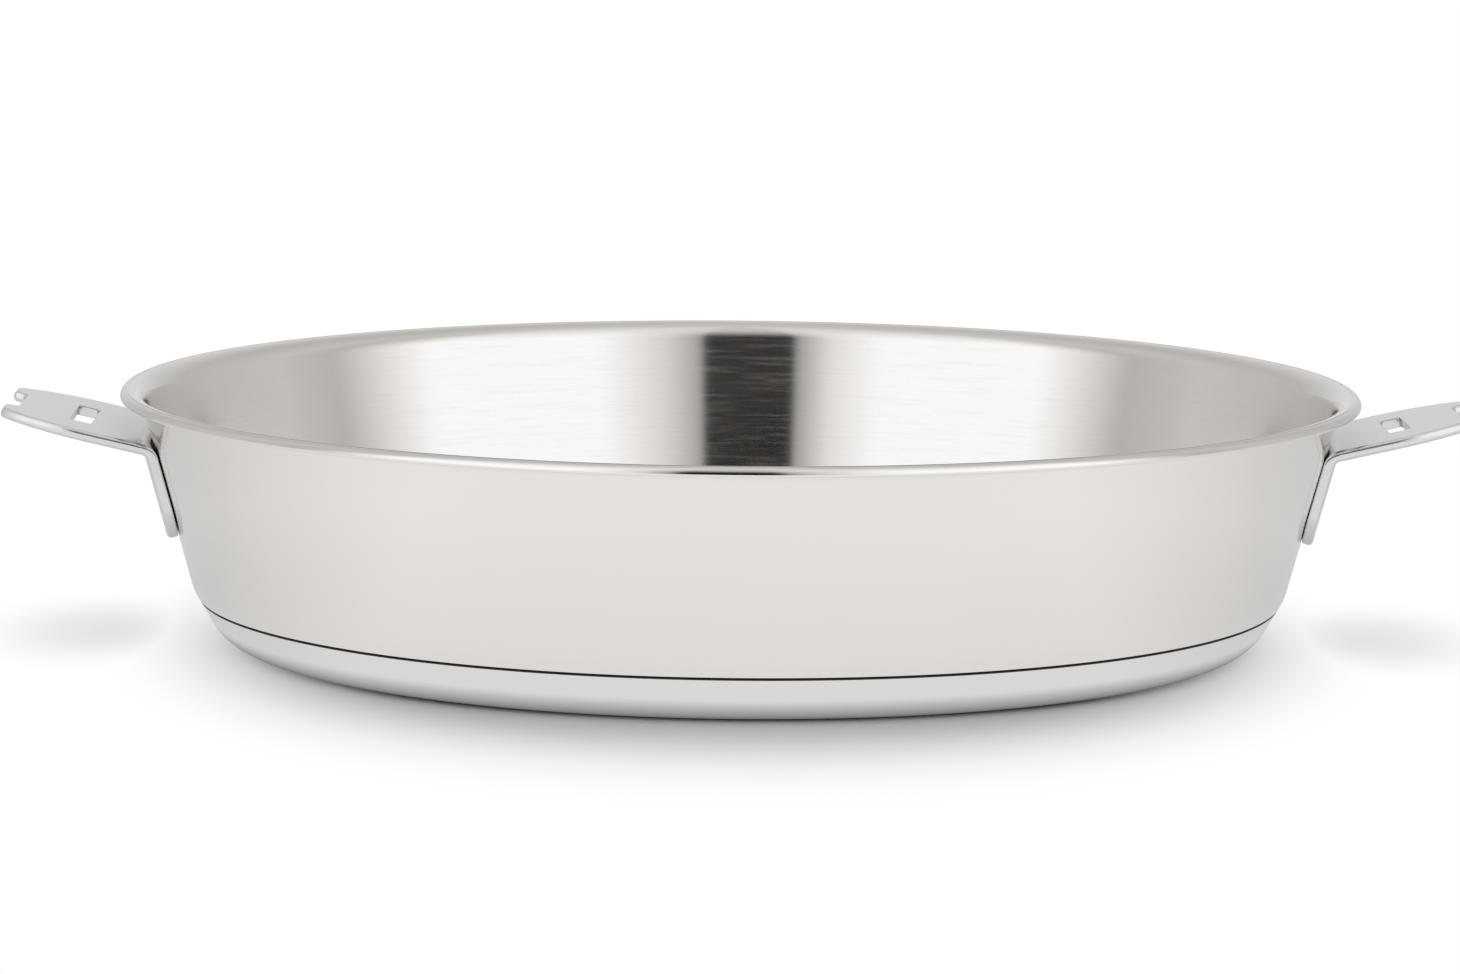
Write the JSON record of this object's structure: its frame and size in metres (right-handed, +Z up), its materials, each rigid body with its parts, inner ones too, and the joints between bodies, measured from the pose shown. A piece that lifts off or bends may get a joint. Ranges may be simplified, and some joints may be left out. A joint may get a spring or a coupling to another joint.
{
  "type": "frying pan",
  "caption": "Round stainless steel frying pan with a flared wall, turned-out lip, capsule base and slotted side lugs that take a detachable handle.",
  "frame": {"origin": "on the pan's axis, at the table under its flat base", "axes": "+Z up along the pan's axis, X through both lugs with the right lug towards +X, and the picture taken from the -Y side"},
  "size_m": [0.349, 0.294, 0.06],
  "materials": {
    "bowl_steel": "satin, brushed round the axis inside and polished outside",
    "base_steel": "polished",
    "lug_steel": "polished, with broken edges",
    "disc_aluminium": "plain, hidden inside the base"
  },
  "bodies": {
    "root": {"pan_bowl": "bowl_steel", "heat_spreader_disc": "disc_aluminium", "base_cap": "base_steel", "left_lug": "lug_steel", "right_lug": "lug_steel"}
  },
  "joints": []
}
